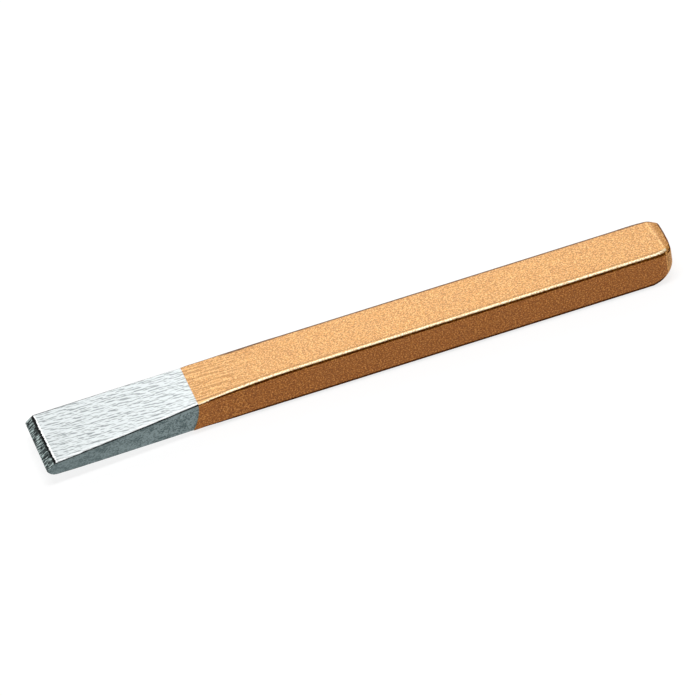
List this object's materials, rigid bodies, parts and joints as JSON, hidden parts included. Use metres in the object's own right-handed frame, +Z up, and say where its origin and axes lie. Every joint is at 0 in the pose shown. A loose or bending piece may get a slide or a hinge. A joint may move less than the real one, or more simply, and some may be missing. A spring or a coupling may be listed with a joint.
{
  "type": "flat chisel",
  "caption": "Flat cold chisel for metal: rectangular forged steel bar with a flared ground blade, a rounded striking head and a copper-coloured lacquer coat.",
  "frame": {"origin": "on the surface that the chisel lies on, under the middle of its length and width", "axes": "+X along the bar from the cutting edge to the striking face, +Y across the width, +Z up out of the upper broad face"},
  "size_m": [0.2, 0.0248, 0.0116],
  "materials": {
    "bare_steel": "ground, with fine marks along the broad faces and coarse marks across the cutting bevels",
    "copper_lacquer": "copper metallic lacquer with a fine hammered texture, semi-gloss"
  },
  "bodies": {
    "root": {"forged_bar": "bare_steel", "lacquer_coat": "copper_lacquer"}
  },
  "joints": []
}
